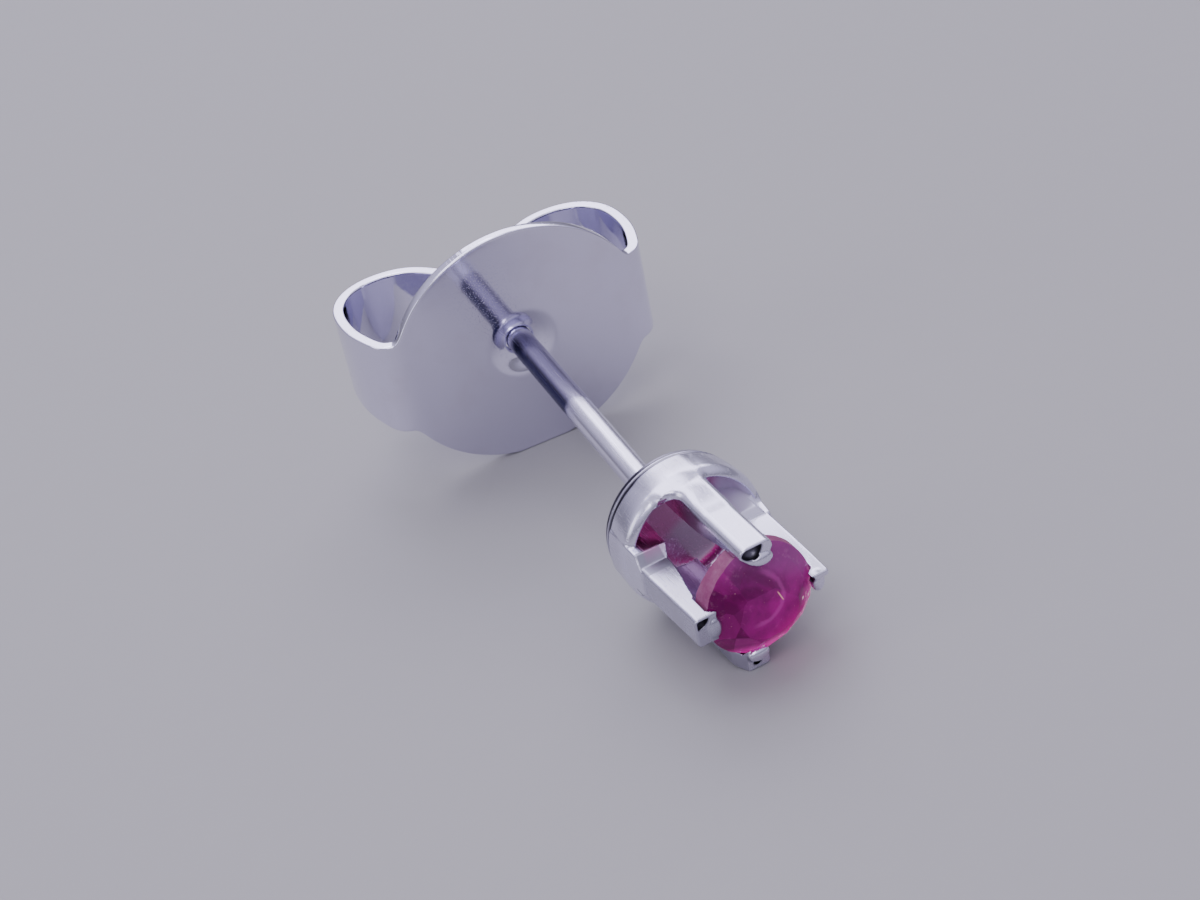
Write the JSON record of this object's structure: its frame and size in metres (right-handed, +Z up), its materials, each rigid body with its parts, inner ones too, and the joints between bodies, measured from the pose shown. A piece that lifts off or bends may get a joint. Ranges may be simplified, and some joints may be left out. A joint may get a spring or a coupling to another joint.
{
  "type": "stud earring",
  "caption": "Stud earring with a round faceted ruby held by claws on a small silver cup, a straight soldered post and a sliding butterfly scroll back.",
  "frame": {"origin": "middle of the bounding box in X and Y, on the table that the stud lies on", "axes": "+Y runs from the stone to the butterfly back, along the post seen from above; +Z is up; +X is to the right when looking along +Y"},
  "size_m": [0.0092, 0.0192, 0.0073],
  "materials": {
    "silver": "polished sterling silver with fine wear scratches",
    "pressed_silver": "bright pressed silver strip",
    "ruby": "hand-faceted raspberry ruby with feathers and fine scratches"
  },
  "bodies": {
    "setting": {"claw_setting": "silver", "ruby_stone": "ruby"},
    "back": {"butterfly_back": "pressed_silver"}
  },
  "joints": [
    {"name": "back_slide", "type": "slide", "parent": "setting", "child": "back", "axis": [0, 0.9928, 0.1199], "range_m": [-0.009, 0.002]}
  ]
}
